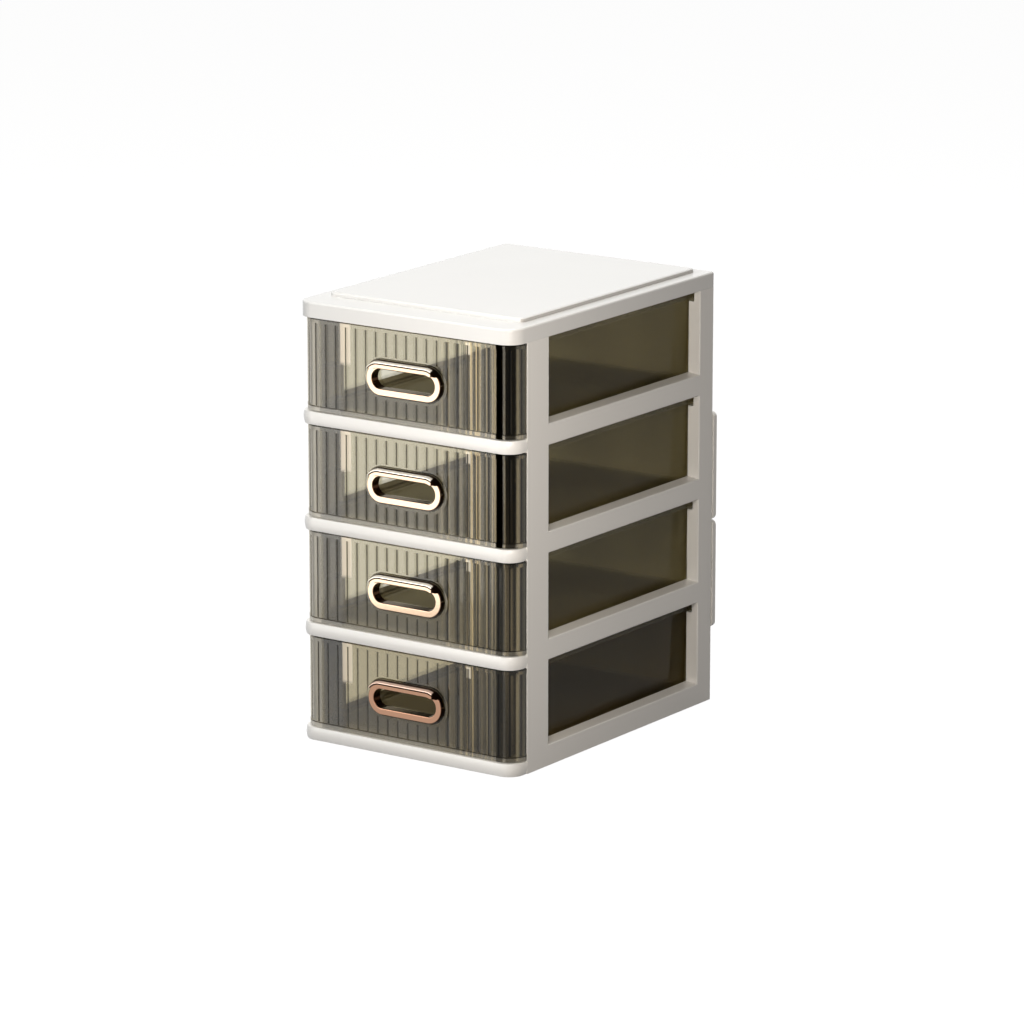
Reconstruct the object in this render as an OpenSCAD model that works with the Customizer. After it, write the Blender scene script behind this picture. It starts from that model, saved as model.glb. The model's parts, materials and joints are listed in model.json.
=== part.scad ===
// Desktop cabinet with four mini drawers: a white frame of snap-together mouldings,
// tinted drawers with fluted fronts, and plated finger pulls.
// Millimetres, +Z up, front towards -Y, origin in the middle of the footprint on the table.

/* [Cabinet] */
// Overall width of the cabinet
cabinet_w = 180; // [150:1:230]
// Depth from the front of the strips to the back of the rear posts
cabinet_d = 246; // [200:1:300]
// Height from one drawer floor to the next
tier_pitch = 74.4; // [66:0.1:95]
// Plan radius of the front corners
corner_r = 12; // [9:0.5:13]
// Plan radius of the rear corners
rear_corner_r = 3; // [2.8:0.1:6]
// Wall thickness of the white mouldings
shell_t = 2.2; // [1.8:0.1:2.4]
// Gap between white mouldings that plug together
fit_gap = 0.2; // [0.1:0.05:0.3]

/* [Side frames] */
// Thickness of a side frame from its outer to its inner face
side_t = 9.4; // [9:0.1:12]
// Distance from the front of the cabinet back to the front posts
nose_d = 16.3; // [14:0.1:20]
// Width of a front post, seen from the side
front_post_w = 25.3; // [20:0.1:36]
// Width of a rear post, seen from the side
rear_post_w = 19; // [15:0.1:24]
// Height of the rail below each side window
rail_h = 14.7; // [14:0.1:19]
// Rise of a window sill from the outer to the inner face
sill_rise = 1.15; // [0:0.05:1.5]
// Chamfer round the outer edge of each window
window_chamfer = 0.5; // [0.2:0.1:1]
// Thickness of the ribs inside the mouldings
rib_t = 1.6; // [1.2:0.1:1.8]

/* [Floors] */
// Height of the front strip of the base and of each divider
strip_h = 9; // [8.4:0.1:10]
// Bulge of the front strip
strip_bulge = 0.8; // [0.3:0.1:1.2]
// Thickness of the floor plates
plate_t = 2.2; // [1.8:0.1:2.4]
// Width of the floor edge that plugs into a side frame
tongue_w = 5; // [3:0.1:6]
// Spacing of the ribs under a floor
rib_pitch = 32; // [20:1:50]

/* [Cover] */
// Height of the cover's skirt
cover_h = 10.8; // [9:0.1:15]
// Radius of the cover's top edge
cover_edge_r = 1.6; // [0.8:0.1:2.2]
// Height of the stacking plateau above the cover
plateau_h = 2.9; // [2:0.1:3.4]
// Width of the border left free at the sides and rear
plateau_inset = 10; // [9.8:0.1:16]
// Width of the border left free at the front
plateau_front_inset = 24.5; // [20:0.1:40]
// Plan radius of the plateau's corners
plateau_corner_r = 4; // [3:0.5:8]
// Radius of the plateau's top edge
plateau_edge_r = 1.4; // [0.8:0.1:1.8]

/* [Back] */
// Thickness of the back panel
back_t = 2; // [1.5:0.1:2.2]
// Depth by which the back panel enters a rear post
back_tongue = 2.2; // [1.5:0.1:2.4]
// Radius of the stiffening beads on the back panel
bead_r = 1.2; // [0.8:0.1:1.6]
// Height of the lower rear tie above the table
tie_z = 52; // [30:1:60]
// Height of one rear tie
tie_h = 77.8; // [60:0.1:90]
// Thickness of a rear tie
tie_d = 4.9; // [4:0.1:7]
// Corner radius of a rear tie
tie_corner_r = 4; // [3:0.5:8]
// Gap between the two rear ties
tie_gap = 0.4; // [0.2:0.1:2]
// Radius of the pegs that hold a rear tie
peg_r = 1.6; // [1.2:0.1:1.7]
// Radial clearance of a peg in its hole
peg_gap = 0.08; // [0.05:0.01:0.1]

/* [Drawers] */
// Distance from the front of the strips back to the drawer fronts
front_inset = 2.4; // [1.6:0.1:3.4]
// Distance from the sides of the cabinet in to the sides of the drawer fronts
front_side_inset = 0.3; // [0.2:0.1:3]
// Plan radius of a drawer front's corners
front_r = 14.8; // [10:0.1:15.5]
// Gap above and below a drawer front
front_gap = 0.6; // [0.4:0.1:1]
// Clearance under a drawer and behind its front
run_gap = 0.3; // [0.3:0.05:0.5]
// Wall thickness of a drawer
drawer_t = 1.8; // [1.4:0.1:2.2]
// Width of one flute
flute_pitch = 8.4; // [6:0.1:12]
// Depth of the grooves between the flutes
flute_depth = 0.8; // [0.4:0.1:1.2]
// Step by which the plain bands stand proud of the flutes
band_step = 0.2; // [0.1:0.05:0.5]
// Height of the plain band above the flutes
band_top = 3.3; // [2:0.1:6]
// Height of the plain band below the flutes
band_bottom = 3.6; // [2:0.1:6]
// Gap between a drawer's side wall and the side frame
tub_gap = 1; // [0.6:0.1:1.6]
// Inward draft of the drawer walls from top to bottom
tub_draft = 2; // [1:0.1:2.6]
// Plan radius of the drawer's rear corners
tub_corner_r = 7; // [6.5:0.5:12]
// Height of the sloping edge round the drawer floor
tub_bevel = 2.4; // [1.5:0.1:3]
// Gap between a drawer's back and the back panel
rear_gap = 4.6; // [4:0.1:8]
// Reach of the running lip beyond the side wall
lip_w = 4.9; // [4:0.1:5.2]
// Height of the running lip
lip_h = 4.5; // [3:0.1:6]
// Thickness of the running lip
lip_t = 1.5; // [1.2:0.1:2]
// Clearance between a lip and its groove
lip_gap = 0.45; // [0.3:0.05:0.5]
// Height of the stop at the rear end of a lip
stop_h = 7; // [6.2:0.1:9]
// Length of the stop
stop_l = 6; // [4:0.1:10]

/* [Pulls] */
// Width of a pull
pull_w = 61.3; // [50:0.1:80]
// Height of a pull's ring
pull_h = 23; // [20:0.1:30]
// Width of the pull's band
pull_band = 4.7; // [3.6:0.1:5.4]
// Thickness of the band in front of the drawer
pull_proud = 2.9; // [1.8:0.1:3.6]
// Radius of the band's edges
pull_edge_r = 0.7; // [0.4:0.1:1.4]
// Height of the pull's centre above the bottom of the drawer front
pull_z = 29.6; // [24:0.1:36]
// Width of the flat rim of the drawer front round a pull
pull_rim = 3.4; // [2.6:0.1:6]
// Wall of the sleeve that lines the finger hole
sleeve_t = 1.4; // [1:0.1:1.8]
// Depth of that sleeve
sleeve_d = 4.4; // [3:0.1:6]
// Clearance of the sleeve in the drawer front
sleeve_gap = 0.1; // [0.05:0.05:0.2]
// Depth of the drawer's own collar behind its front
collar_d = 8; // [5:0.1:12]
// Reach of the visor in front of the drawer
visor_reach = 5.9; // [5:0.1:9]
// Thickness of the visor
visor_t = 1.4; // [1.2:0.1:1.8]
// Height of the visor's root above the ring
visor_rise = 1.7; // [1:0.1:2.4]
// Drop of the visor's front edge below its root
visor_drop = 1.2; // [0.5:0.1:2]
// Height of the visor's front lip
visor_lip = 4.2; // [3:0.1:5]
// Height above the centre at which the visor's ends stop
visor_end = 7.3; // [5:0.1:7.4]

/* [Hidden] */
$fn = 48;
tiers = 4;
bite = 0.5;          // overlap that joins solids of one moulding
beyond = 1;          // overshoot of a cut past a face
hub_r = 3.4;         // boss round a peg hole
min_r = 0.2;         // smallest inner corner

x_out = cabinet_w / 2;
x_in = x_out - side_t;
y_front = -cabinet_d / 2;
y_rear = cabinet_d / 2;
body_top = tiers * tier_pitch;

post_y = y_front + nose_d;
window_y0 = post_y + front_post_w;
window_y1 = y_rear - rear_post_w;
window_h = tier_pitch - rail_h;
tenon_x = x_out - shell_t - fit_gap;
tenon_h = cover_h - shell_t - fit_gap;
tenon_y1 = y_rear - shell_t - fit_gap;

back_y1 = y_rear - shell_t - fit_gap;
back_y0 = back_y1 - back_t;
floor_y1 = back_y0 - fit_gap;
keeper_y0 = floor_y1 - rib_t;
tongue_y0 = post_y + shell_t + fit_gap;
tongue_y1 = keeper_y0 - fit_gap;
floor_rib_h = strip_h - plate_t - plateau_h - bite;
strip_arc_r = (strip_h * strip_h / 4 + strip_bulge * strip_bulge) / (2 * strip_bulge);

peg_x = x_in + (side_t + back_tongue + fit_gap - shell_t) / 2;
peg_l = shell_t + peg_r;
peg_inset = 14;

front_hw = x_out - front_side_inset;
front_y = y_front + front_inset;
front_z0 = strip_h + front_gap;
front_h = tier_pitch - front_gap - front_z0;
groove_depth = band_step + flute_depth;
wall_depth = groove_depth + drawer_t;
inner_y = front_y + wall_depth;
fin_y = post_y - run_gap;
straight_l = front_hw - front_r;
bend_l = front_r * PI / 2;
flutes = ceil((straight_l + bend_l + fin_y - front_y - front_r) / flute_pitch);

tub_z0 = strip_h + run_gap;
tub_top = tier_pitch - front_gap;
tub_hw = x_in - tub_gap;
tub_y1 = back_y0 - rear_gap;
lip_hw = tub_hw + lip_w;
groove_x = lip_hw + lip_gap;
groove_h = front_gap + lip_h + lip_gap;
notch_h = front_gap + stop_h + lip_gap;
stop_y1 = tub_y1 - beyond;
stop_y0 = stop_y1 - stop_l;

ring_r = pull_h / 2;
ring_in_r = ring_r - pull_band;
ring_l = pull_w / 2 - ring_r;
hole_r = ring_in_r + sleeve_t + sleeve_gap;

function inner_r(r, t) = max(r - t, min_r);

// ---------------------------------------------------------------- helpers

// Stretches a (Y, Z) outline along X
module along_x(x0, x1) {
    translate([x0, 0, 0]) rotate([90, 0, 90]) linear_extrude(x1 - x0) children();
}

// Stretches an (X, Z) outline along Y
module along_y(y0, y1) {
    translate([0, y1, 0]) rotate([90, 0, 0]) linear_extrude(y1 - y0) children();
}

module both_sides() {
    children();
    mirror([1, 0, 0]) children();
}

// Rectangle centred on X = 0 with one radius for the front and one for the rear corners
module plan(hw, y0, y1, rf, rr) {
    translate([-hw, y0 + rf]) square([2 * hw, y1 - rr - y0 - rf]);
    translate([rf - hw, y0]) square([2 * (hw - rf), rf + bite]);
    translate([rr - hw, y1 - rr - bite]) square([2 * (hw - rr), rr + bite]);
    for (s = [-1, 1]) {
        translate([s * (hw - rf), y0 + rf]) circle(rf);
        translate([s * (hw - rr), y1 - rr]) circle(rr);
    }
}

// The cabinet's own outline, drawn in by an inset
module cabinet_plan(inset) {
    plan(x_out - inset, y_front + inset, y_rear - inset,
         inner_r(corner_r, inset), inner_r(rear_corner_r, inset));
}

// Carries an (inset, height) profile round one corner of radius r
module corner_sweep(r) {
    rotate_extrude(angle = 90) translate([r, 0]) mirror([1, 0]) children();
}

// Block with rounded corners and a rounded top edge
module soft_slab(hw, y0, y1, rf, rr, h, edge) {
    linear_extrude(h - edge) plan(hw, y0, y1, rf, rr);
    translate([0, 0, h - edge - bite]) linear_extrude(edge + bite) {
        plan(hw - edge, y0 + edge, y1 - edge, rf - edge, rr - edge);
    }
    translate([0, 0, h - edge]) {
        along_x(rf - hw, hw - rf) translate([y0, 0]) shoulder(edge);
        along_x(rr - hw, hw - rr) translate([y1, 0]) mirror([1, 0]) shoulder(edge);
        both_sides() {
            along_y(y0 + rf, y1 - rr) translate([hw, 0]) mirror([1, 0]) shoulder(edge);
            translate([hw - rr, y1 - rr, 0]) corner_sweep(rr) shoulder(edge);
            translate([hw - rf, y0 + rf, 0]) rotate([0, 0, -90]) corner_sweep(rf) shoulder(edge);
        }
    }
}

// Quarter round that turns a wall into a top
module shoulder(edge) {
    intersection() {
        translate([edge, 0]) circle(edge);
        translate([0, -bite]) square(edge + bite);
    }
}

// ---------------------------------------------------------------- side frames

module frame_face() {
    translate([post_y, 0]) square([y_rear - post_y, body_top]);
}

// Rectangle in (Y, Z) given by its two corners
module bar(y0, y1, z0, z1) {
    translate([y0, z0]) square([y1 - y0, z1 - z0]);
}

// Walls that stand inward from the outer skin of a side frame
module frame_web() {
    difference() {
        frame_face();
        bar(post_y + shell_t, y_rear - shell_t, shell_t, body_top - shell_t);
    }
    bar(keeper_y0, floor_y1, 0, body_top);
    for (k = [0 : tiers - 1]) translate([0, k * tier_pitch]) {
        tongue_z = strip_h - plate_t - fit_gap;
        bar(post_y, y_rear, 0, shell_t);
        bar(post_y, keeper_y0, tongue_z - rib_t, tongue_z);
        bar(post_y, keeper_y0, strip_h + fit_gap, strip_h + fit_gap + rib_t);
        bar(window_y0 - shell_t, window_y1 + shell_t, rail_h - shell_t, tier_pitch);
        bar(post_y, window_y0, tier_pitch - groove_h - rib_t, tier_pitch - groove_h);
        bar(window_y1, keeper_y0, tier_pitch - notch_h - rib_t, tier_pitch - notch_h);
        bar(post_y, keeper_y0, rail_h + window_h / 3, rail_h + window_h / 3 + rib_t);
    }
}

// Plug at the top of a side frame, which the cover's skirt hides
module frame_tenon() {
    intersection() {
        union() {
            along_x(tenon_x - shell_t, tenon_x) {
                bar(post_y, tenon_y1, body_top - bite, body_top + tenon_h);
            }
            along_x(x_in, tenon_x) difference() {
                bar(post_y, tenon_y1, body_top - shell_t, body_top + tenon_h);
                bar(post_y + shell_t, keeper_y0, body_top + shell_t, body_top + tenon_h - shell_t);
            }
        }
        linear_extrude(body_top + cover_h) cabinet_plan(shell_t + fit_gap);
    }
}

// One side window, with a sloping sill and a chamfered outer edge
module window_cut() {
    c = window_chamfer;
    fall = sill_rise / side_t;
    intersection() {
        along_y(window_y0 - c - beyond, window_y1 + c + beyond) polygon([
            [x_in - beyond, rail_h + sill_rise + fall * beyond],
            [x_out - c, rail_h + fall * c],
            [x_out + beyond, rail_h - c - beyond],
            [x_out + beyond, tier_pitch + c + beyond],
            [x_out - c, tier_pitch],
            [x_in - beyond, tier_pitch]]);
        translate([0, 0, rail_h - c - beyond]) linear_extrude(window_h + 2 * (c + beyond)) polygon([
            [x_in - beyond, window_y0],
            [x_out - c, window_y0],
            [x_out + beyond, window_y0 - c - beyond],
            [x_out + beyond, window_y1 + c + beyond],
            [x_out - c, window_y1],
            [x_in - beyond, window_y1]]);
    }
}

// Places a child at the four peg holes of a side frame's rear wall
module at_pegs() {
    for (i = [0, 1], z = [peg_inset, tie_h - peg_inset]) {
        translate([peg_x, y_rear, tie_z + i * (tie_h + tie_gap) + z]) rotate([90, 0, 0]) children();
    }
}

module side_frame() {
    difference() {
        union() {
            intersection() {
                union() {
                    along_x(x_out - shell_t, x_out) frame_face();
                    along_x(x_in, x_out - shell_t + bite) frame_web();
                    at_pegs() cylinder(r = hub_r, h = peg_l);
                }
                linear_extrude(body_top) cabinet_plan(0);
            }
            frame_tenon();
        }
        for (k = [0 : tiers - 1]) translate([0, 0, k * tier_pitch]) {
            window_cut();
            along_y(post_y - beyond, window_y0 + beyond) {
                bar(x_in - beyond, groove_x, tier_pitch - groove_h, tier_pitch);
            }
            along_y(window_y1 - beyond, tub_y1 + lip_gap) {
                bar(x_in - beyond, groove_x, tier_pitch - notch_h, tier_pitch);
            }
        }
        along_y(floor_y1, y_rear - shell_t) {
            bar(x_in - beyond, x_in + back_tongue + fit_gap, shell_t, body_top + cover_h);
        }
        at_pegs() translate([0, 0, -beyond]) cylinder(r = peg_r + peg_gap, h = peg_l + 2 * beyond);
    }
}

module side_frame_right() {
    color("#ECEBE8") side_frame();
}

module side_frame_left() {
    color("#ECEBE8") mirror([1, 0, 0]) side_frame();
}

// ---------------------------------------------------------------- base and dividers

// Bulging section of the front strip, in (inset, height)
module strip_section() {
    intersection() {
        translate([strip_arc_r, strip_h / 2]) circle(strip_arc_r, $fn = 180);
        square([shell_t + strip_bulge, strip_h]);
    }
}

// Front strip with its two rounded corners and short returns to the posts
module strip() {
    along_x(corner_r - x_out, x_out - corner_r) translate([y_front, 0]) strip_section();
    both_sides() {
        along_y(y_front + corner_r, post_y) translate([x_out, 0]) mirror([1, 0]) strip_section();
        translate([x_out - corner_r, y_front + corner_r, 0]) rotate([0, 0, -90]) {
            corner_sweep(corner_r) strip_section();
        }
    }
}

module floor_outline() {
    intersection() {
        cabinet_plan(shell_t);
        translate([-x_out, y_front]) square([cabinet_w, nose_d]);
    }
    translate([fit_gap - x_in, post_y - bite]) square([2 * (x_in - fit_gap), floor_y1 - post_y + bite]);
    translate([-x_in - tongue_w, tongue_y0]) {
        square([2 * (x_in + tongue_w), tongue_y1 - tongue_y0]);
    }
}

module floor_ribs() {
    rib_hw = x_in - fit_gap;
    lanes = floor(rib_hw / rib_pitch);
    rows = floor((floor_y1 - post_y) / rib_pitch);
    for (i = [-lanes : lanes]) {
        translate([i * rib_pitch - rib_t / 2, post_y - bite, 0]) {
            cube([rib_t, floor_y1 - post_y + bite, floor_rib_h]);
        }
    }
    for (j = [1 : rows]) {
        translate([-rib_hw, post_y + j * rib_pitch - rib_t, 0]) cube([2 * rib_hw, rib_t, floor_rib_h]);
    }
}

// Floor of one tier: front strip, plate, box behind the strip and ribs below
module floor_moulding(tier) {
    color("#F4F3F0") translate([0, 0, tier * tier_pitch]) {
        strip();
        translate([0, 0, strip_h - plate_t]) linear_extrude(plate_t) floor_outline();
        along_y(post_y - shell_t, post_y) bar(shell_t - x_out, x_out - shell_t, 0, strip_h);
        translate([0, 0, strip_h - plate_t - floor_rib_h]) floor_ribs();
    }
}

module base() {
    floor_moulding(0);
}

module divider(number) {
    floor_moulding(number);
}

// ---------------------------------------------------------------- cover

module plateau(inset, h, edge) {
    r = inner_r(plateau_corner_r, inset);
    hw = x_out - plateau_inset - inset;
    y0 = y_front + plateau_front_inset + inset;
    y1 = y_rear - plateau_inset - inset;
    if (edge > 0) soft_slab(hw, y0, y1, r, r, h, edge);
    if (edge == 0) linear_extrude(h) plan(hw, y0, y1, r, r);
}

module top_cover() {
    keeper_x = x_in - fit_gap;
    color("#FAF9F5") translate([0, 0, body_top]) {
        difference() {
            union() {
                soft_slab(x_out, y_front, y_rear, corner_r, rear_corner_r, cover_h, cover_edge_r);
                translate([0, 0, bite]) plateau(0, cover_h + plateau_h - bite, plateau_edge_r);
            }
            translate([0, 0, -beyond]) {
                linear_extrude(cover_h - shell_t + beyond) cabinet_plan(shell_t);
                plateau(shell_t, cover_h + plateau_h - shell_t + beyond, 0);
            }
        }
        // Walls that keep the side frames out against the skirt
        both_sides() along_y(tongue_y0, tongue_y1) {
            bar(keeper_x - rib_t, keeper_x, shell_t, cover_h - bite);
        }
        // Wall that closes the nose above the top drawer
        along_y(post_y - shell_t, post_y - fit_gap) bar(shell_t - x_out, x_out - shell_t, 0, cover_h - bite);
    }
}

// ---------------------------------------------------------------- back

module back_panel() {
    hw = x_in + back_tongue;
    bead_hw = x_in - shell_t;
    color("#EFEEEB") {
        along_y(back_y0, back_y1) bar(-hw, hw, shell_t + fit_gap, body_top + tenon_h - shell_t);
        for (k = [1 : 2 * tiers - 1]) {
            translate([0, back_y1, k * tier_pitch / 2]) intersection() {
                rotate([0, 90, 0]) cylinder(r = bead_r, h = 2 * bead_hw, center = true);
                translate([-bead_hw, -bite, -bead_r]) cube([2 * bead_hw, bead_r + bite, 2 * bead_r]);
            }
        }
    }
}

// Shallow tray across both rear posts, held by pegs
module rear_tie(number) {
    r = tie_corner_r;
    color("#EFEEEB") translate([0, y_rear, tie_z + number * (tie_h + tie_gap)]) {
        rotate([90, 0, 180]) difference() {
            soft_slab(x_out, 0, tie_h, r, r, tie_d, cover_edge_r);
            translate([0, 0, -beyond]) linear_extrude(tie_d - shell_t + beyond) {
                plan(x_in - fit_gap, shell_t, tie_h - shell_t, inner_r(r, shell_t), inner_r(r, shell_t));
            }
        }
        both_sides() for (z = [peg_inset, tie_h - peg_inset]) {
            translate([peg_x, bite, z]) rotate([90, 0, 0]) cylinder(r = peg_r, h = peg_l + bite);
        }
    }
}

// ---------------------------------------------------------------- drawers

// Direction that faces outward at a distance s along the drawer front, from the middle
function front_angle(s) = -90 + 90 * min(max((s - straight_l) / bend_l, 0), 1);

// Point of the front's outline at that distance, moved outward by an amount
function front_point(s, out) =
    let (a = front_angle(s), side_run = max(s - straight_l - bend_l, 0))
    [min(s, straight_l) + (front_r + out) * cos(a),
     front_y + front_r + side_run + (front_r + out) * sin(a)];

// Centre of the circle through three points
function circle_centre(a, b, c) =
    let (p = b - a, q = c - a, d = 2 * (p[0] * q[1] - p[1] * q[0]), pp = p * p, qq = q * q)
    a + [q[1] * pp - p[1] * qq, p[0] * qq - q[0] * pp] / d;

// Plan of one flute: a convex arc between two grooves, lapping the next flute below them
module flute(s0, s1) {
    lap = bite / 2;
    groove_a = front_point(s0, -groove_depth);
    groove_b = front_point(s1, -groove_depth);
    centre = circle_centre(groove_a, front_point((s0 + s1) / 2, -band_step), groove_b);
    root = -wall_depth - bite;
    intersection() {
        translate(centre) circle(norm(groove_a - centre));
        polygon([front_point(s0 - lap, root), front_point(s0 - lap, beyond),
                 front_point(s1 + lap, beyond), front_point(s1 + lap, root)]);
    }
}

// Keeps what lies in front of the posts
module before_posts() {
    intersection() {
        children();
        translate([-x_out, y_front]) square([cabinet_w, fin_y - y_front]);
    }
}

module band_plan() {
    before_posts() plan(front_hw, front_y, y_rear, front_r, min_r);
}

module fluted_plan() {
    before_posts() both_sides() for (i = [0 : flutes - 1]) {
        flute(i * flute_pitch, (i + 1) * flute_pitch);
    }
}

// Front wall with its fins, in plain bands and flutes
module drawer_front() {
    translate([0, 0, front_z0]) difference() {
        union() {
            translate([0, 0, bite]) linear_extrude(front_h - 2 * bite) fluted_plan();
            linear_extrude(band_bottom) band_plan();
            translate([0, 0, front_h - band_top]) linear_extrude(band_top) band_plan();
        }
        translate([0, 0, -beyond]) linear_extrude(front_h + 2 * beyond) {
            plan(front_hw - wall_depth, inner_y, y_rear, inner_r(front_r, wall_depth), min_r);
        }
    }
}

// Tub solid with drafted walls and a sloping edge round its floor
module tub(inset, y0) {
    hw = tub_hw - inset;
    y1 = tub_y1 - inset;
    r = tub_corner_r - inset;
    z0 = tub_z0 + inset;
    z1 = z0 + tub_bevel;
    z2 = tub_top + inset;
    foot = tub_draft + tub_bevel;
    wall = [[-foot, z0], [-tub_draft, z1], [0, z2]];
    far_wall = [for (i = [2 : -1 : 0]) wall[i]];
    along_y(y0, y1 - r) {
        polygon([for (p = wall) [hw + p[0], p[1]], for (p = far_wall) [-hw - p[0], p[1]]]);
    }
    along_x(r - hw, hw - r) polygon([[y0, z0], for (p = wall) [y1 + p[0], p[1]], [y0, z2]]);
    both_sides() translate([hw - r, y1 - r, 0]) {
        rotate_extrude() polygon([[0, z0], for (p = wall) [r + p[0], p[1]], [0, z2]]);
    }
}

// Lip that turns outward and down round the top of the tub
module running_lip() {
    low = tub_top - lip_h;
    rear_reach = rear_gap / 2;
    lip_y0 = fin_y - bite;
    lip_y1 = tub_y1 - tub_corner_r;
    hidden = groove_depth + bite;
    difference() {
        translate([0, 0, tub_top - lip_t]) linear_extrude(lip_t) {
            before_posts() plan(front_hw - hidden, front_y + hidden, y_rear, front_r - hidden, min_r);
            translate([-lip_hw, lip_y0]) square([2 * lip_hw, lip_y1 - lip_y0]);
            plan(tub_hw, inner_y, tub_y1 + rear_reach, min_r, tub_corner_r);
        }
        tub(drawer_t, inner_y);
    }
    both_sides() {
        along_y(lip_y0, lip_y1) bar(lip_hw - lip_t, lip_hw, low, tub_top);
        along_y(stop_y0, stop_y1) bar(tub_hw - drawer_t / 2, lip_hw, tub_top - stop_h, tub_top);
    }
}

module racetrack(r) {
    translate([-ring_l, -r]) square([2 * ring_l, 2 * r]);
    for (s = [-1, 1]) translate([s * ring_l, 0]) circle(r);
}

// Turns a drawing of the pull, made looking at it, to stand in the drawer front
module at_pull() {
    translate([0, front_y, front_z0 + pull_z]) rotate([90, 0, 0]) children();
}

module drawer(number) {
    color("#8C8468", 0.6) translate([0, 0, (number - 1) * tier_pitch]) difference() {
        union() {
            drawer_front();
            difference() {
                tub(0, inner_y - bite);
                tub(drawer_t, inner_y);
            }
            running_lip();
            at_pull() {
                translate([0, 0, -wall_depth]) linear_extrude(wall_depth) racetrack(ring_r + pull_rim);
                translate([0, 0, -wall_depth - collar_d]) {
                    linear_extrude(collar_d + bite) racetrack(hole_r + drawer_t);
                }
            }
        }
        at_pull() translate([0, 0, -wall_depth - collar_d - beyond]) {
            linear_extrude(wall_depth + collar_d + 2 * beyond) racetrack(hole_r);
        }
    }
}

// ---------------------------------------------------------------- pulls

// Carries a (radius, height) profile along the top and round the right-hand corner
module quarter_sweep() {
    translate([ring_l, 0, 0]) rotate_extrude(angle = 90) children();
    along_x(-bite, ring_l) children();
}

// Band with rounded front edges and the sleeve behind it
module ring_section() {
    e = pull_edge_r;
    translate([ring_in_r, 0]) square([pull_band, pull_proud - e]);
    translate([ring_in_r + e, 0]) square([pull_band - 2 * e, pull_proud]);
    for (x = [e, pull_band - e]) translate([ring_in_r + x, pull_proud - e]) circle(e);
    translate([ring_in_r, -sleeve_d]) square([sleeve_t, sleeve_d + bite]);
}

// Straight wall with round ends between two points of a section
module round_bar(p, q, t) {
    d = q - p;
    translate(p) {
        rotate(atan2(d[1], d[0])) translate([0, -t / 2]) square([norm(d), t]);
        circle(t / 2);
    }
    translate(q) circle(t / 2);
}

// Flange on the drawer front, plate that reaches forward and lip that turns down
module visor_section() {
    t = visor_t;
    foot = [ring_r - t, t / 2 + bite];
    root = [ring_r + visor_rise - t / 2, foot[1]];
    brow = [root[0] - visor_drop, visor_reach - t / 2];
    edge = brow - [visor_lip - t, 0];
    translate(foot) square([visor_rise, pull_proud - bite / 2 - foot[1]]);
    round_bar(foot, root, t);
    round_bar(root, brow, t);
    round_bar(brow, edge, t);
}

module pull(number) {
    color("#D9B48F") translate([0, 0, (number - 1) * tier_pitch]) at_pull() {
        both_sides() {
            quarter_sweep() ring_section();
            mirror([0, 1, 0]) quarter_sweep() ring_section();
            intersection() {
                quarter_sweep() visor_section();
                translate([-beyond, visor_end, 0]) cube([pull_w, pull_h, visor_reach + beyond]);
            }
        }
    }
}

base();
divider(1);  // divider_1
divider(2);  // divider_2
divider(3);  // divider_3
side_frame_left();
side_frame_right();
top_cover();
back_panel();
rear_tie(0);  // rear_tie_lower
rear_tie(1);  // rear_tie_upper
drawer(1);  // drawer_1
drawer(2);  // drawer_2
drawer(3);  // drawer_3
drawer(4);  // drawer_4
pull(1);  // pull_1
pull(2);  // pull_2
pull(3);  // pull_3
pull(4);  // pull_4
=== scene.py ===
import json
import math

import bmesh
import bpy
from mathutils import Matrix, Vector

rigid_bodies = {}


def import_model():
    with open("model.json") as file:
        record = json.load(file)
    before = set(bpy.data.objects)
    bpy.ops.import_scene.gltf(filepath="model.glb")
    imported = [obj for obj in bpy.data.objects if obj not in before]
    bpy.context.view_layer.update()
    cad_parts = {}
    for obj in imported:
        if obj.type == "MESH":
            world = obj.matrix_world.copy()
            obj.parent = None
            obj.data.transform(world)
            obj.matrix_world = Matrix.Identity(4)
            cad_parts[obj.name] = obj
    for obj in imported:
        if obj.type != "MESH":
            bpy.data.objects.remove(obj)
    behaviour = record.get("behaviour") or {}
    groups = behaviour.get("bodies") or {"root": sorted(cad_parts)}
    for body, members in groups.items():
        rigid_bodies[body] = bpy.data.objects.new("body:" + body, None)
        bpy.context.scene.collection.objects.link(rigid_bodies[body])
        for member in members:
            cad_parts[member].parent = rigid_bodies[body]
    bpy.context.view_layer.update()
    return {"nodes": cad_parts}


for leftover in list(bpy.data.objects):
    bpy.data.objects.remove(leftover)

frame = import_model()
scene = bpy.context.scene
print("frame loaded:", len(frame["nodes"]), "nodes")


def addNode(tree, kind, **values):
    node = tree.nodes.new(kind)
    for name, value in values.items():
        setattr(node, name, value)
    return node


# Links a socket to an input, or sets the input to a number, a vector or a colour of three parts
def plug(target, value):
    if isinstance(value, bpy.types.NodeSocket):
        target.id_data.links.new(value, target)
    elif target.type == "RGBA":
        target.default_value = (*value, 1)
    else:
        target.default_value = value


# Plugs values into a node's inputs by name, written with _ for a space
def feed(node, **values):
    for name, value in values.items():
        plug(node.inputs[name.replace("_", " ")], value)
    return node


def mathNode(tree, operation, first, second=None, clamp=False):
    node = addNode(tree, "ShaderNodeMath", operation=operation, use_clamp=clamp)
    plug(node.inputs[0], first)
    if second is not None:
        plug(node.inputs[1], second)
    return node.outputs[0]


def multiply(tree, first, second):
    return mathNode(tree, "MULTIPLY", first, second)


def largest(tree, first, second):
    return mathNode(tree, "MAXIMUM", first, second)


def opposite(tree, value):
    return mathNode(tree, "SUBTRACT", 1.0, value)


def lengthOf(tree, first, second):
    squares = mathNode(tree, "ADD", multiply(tree, first, first), multiply(tree, second, second))
    return mathNode(tree, "SQRT", squares)


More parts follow.
